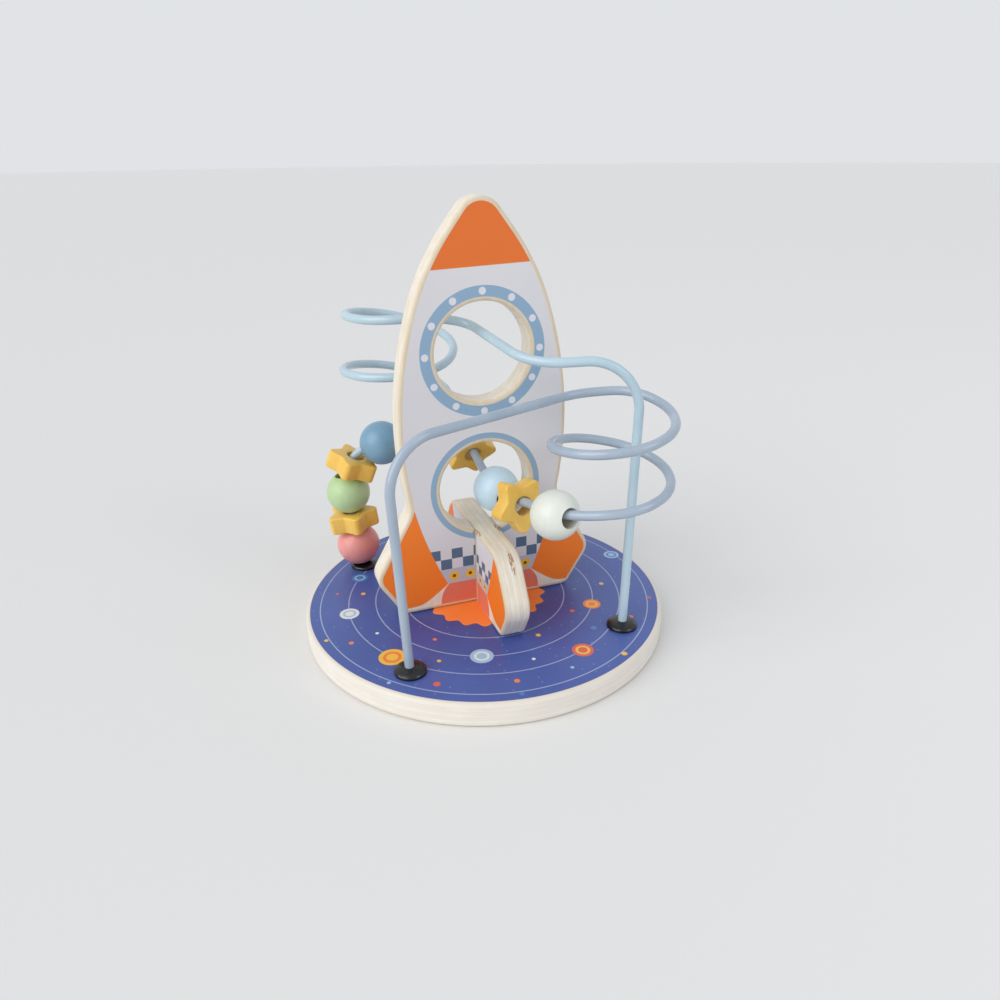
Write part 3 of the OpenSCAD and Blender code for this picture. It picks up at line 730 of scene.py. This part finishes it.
ball_r, bore_r, ease = 11.25, 4.5, 0.35
open_a = math.asin((bore_r + ease) / ball_r)
sweep = np.linspace(open_a, math.pi - open_a, 49)
ease_a = np.linspace(0, np.pi / 2, 5)[1:]
mouth = ball_r * math.cos(open_a) - 0.1
ease_out, ease_z = bore_r + ease * (1 - np.sin(ease_a)), mouth - ease * (1 - np.cos(ease_a))
wall_bore = [0.4, 1, 1, 1, 1, 1, 1, 1, 0.4]
wall_z = np.linspace(0.8, -0.8, len(wall_bore)) * mouth
ball_profile = np.vstack([
    np.column_stack([ball_r * np.sin(sweep), -ball_r * np.cos(sweep)]),
    np.column_stack([ease_out, ease_z]),
    np.column_stack([np.full(len(wall_z), bore_r), wall_z]),
    np.column_stack([ease_out, -ease_z])[::-1],
])
ball_bore = np.concatenate([np.zeros(len(sweep) + len(ease_a)), wall_bore, np.zeros(len(ease_a))])
round_a = np.linspace(0, 2 * np.pi, 72, endpoint=False)
ball_rings = np.stack([
    ball_profile[:, :1] * np.cos(round_a),
    ball_profile[:, :1] * np.sin(round_a),
    np.repeat(ball_profile[:, 1:], len(round_a), 1),
], -1)
for body, node, spot, along, slot, tint, shade in (
    ("pink_bead", "pink_ball", (-54.23, 52.30, 25.78), (-0.1065, 0.0142, 0.9942),
     "pink_paint", srgb(237, 158, 149), srgb(229, 146, 138)),
    ("green_bead", "green_ball", (-56.95, 52.55, 56.59), (-0.1558, 0.0302, 0.9873),
     "green_paint", srgb(186, 214, 160), srgb(176, 205, 147)),
    ("blue_bead", "blue_ball", (-38.62, 46.10, 83.81), (-0.8590, 0.2840, -0.4260),
     "blue_paint", srgb(125, 165, 189), srgb(114, 155, 180)),
    ("cream_bead", "cream_ball", (17.00, -49.96, 75.62), (-0.2758, 0.9429, -0.1867),
     "cream_paint", srgb(229, 231, 220), srgb(222, 226, 213)),
    ("pale_blue_bead", "pale_blue_ball", (7.91, 1.89, 68.59), (-0.1155, 0.9882, 0.1002),
     "pale_blue_paint", srgb(211, 238, 252), srgb(202, 231, 247)),
):
    piece = bead(body + "_skin", placed(ball_rings, spot, along), ball_bore)
    piece.data.materials.append(bead_finish(body, tint, shade))
    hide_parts(node)
    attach(piece, body)


# Stars: five-pointed beads sawn from board, with eased edges and a drilled bore, in the same
# satin paint.
star_half, star_round = 4.75, 1.0
tip_r, dent_r, tip_round, dent_round = 15.5, 9.0, 2.5, 3.0
tip_a = np.radians(36.0 * np.arange(10))
is_tip = np.arange(10) % 2 == 0
star_reach, star_radii = np.where(is_tip, tip_r, dent_r), np.where(is_tip, tip_round, dent_round)
star_corners = star_reach[:, None] * np.column_stack([np.cos(tip_a), np.sin(tip_a)])
star_before, star_after = np.roll(star_corners, 1, 0), np.roll(star_corners, -1, 0)
star_line = arcs(star_before, star_corners, star_after, star_radii, 10)
quarter = np.linspace(0, np.pi / 2, 7)
inset = star_round * (1 - np.sin(quarter))
rim_z = -star_half + star_round * (1 - np.cos(quarter))
insets, levels = np.concatenate([inset, inset[::-1]]), np.concatenate([rim_z, -rim_z[::-1]])
edge = star_line[None] - insets[:, None, None] * outward(star_line)[None]
bore_line = star_line / np.linalg.norm(star_line, axis=1, keepdims=True)
bore_steps = np.array([
    [bore_r + 2.2, star_half],
    [bore_r + ease, star_half],
    [bore_r + 0.1, star_half - 0.1],
    [bore_r, star_half - ease],
    [bore_r, 2.0],
])
bore_steps = np.vstack([bore_steps, bore_steps[::-1] * [1, -1]])
star_rings = np.concatenate([
    np.concatenate([edge, np.broadcast_to(levels[:, None, None], (*edge.shape[:2], 1))], -1),
    np.concatenate([
        bore_steps[:, 0, None, None] * bore_line[None],
        np.broadcast_to(bore_steps[:, 1, None, None], (len(bore_steps), len(star_line), 1)),
    ], -1),
])
star_bore = np.concatenate([np.zeros(len(levels)), [0, 0, 0, 0.3, 1, 1, 0.3, 0, 0, 0]])
yellow_finish = bead_finish("yellow_paint", srgb(247, 202, 96), srgb(238, 188, 76))
for name, node, spot, along, spin in (
    ("low_star", "pile_star_low", (-55.86, 52.52, 41.05), (-0.1065, 0.0142, 0.9942), 27),
    ("high_star", "pile_star_high", (-53.56, 51.15, 72.55), (0.3502, -0.1309, 0.9275), 50),
    ("front_star", "front_star", (11.20, -20.88, 69.29), (-0.1567, 0.9699, -0.1865), 3),
    ("rear_star", "rear_star", (5.18, 35.09, 78.33), (-0.0646, 0.9233, 0.3786), 52),
):
    piece = bead(name + "_skin", placed(star_rings, spot, along, spin), star_bore)
    piece.data.materials.append(yellow_finish)
    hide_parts(node)
    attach(piece, name + "_bead")
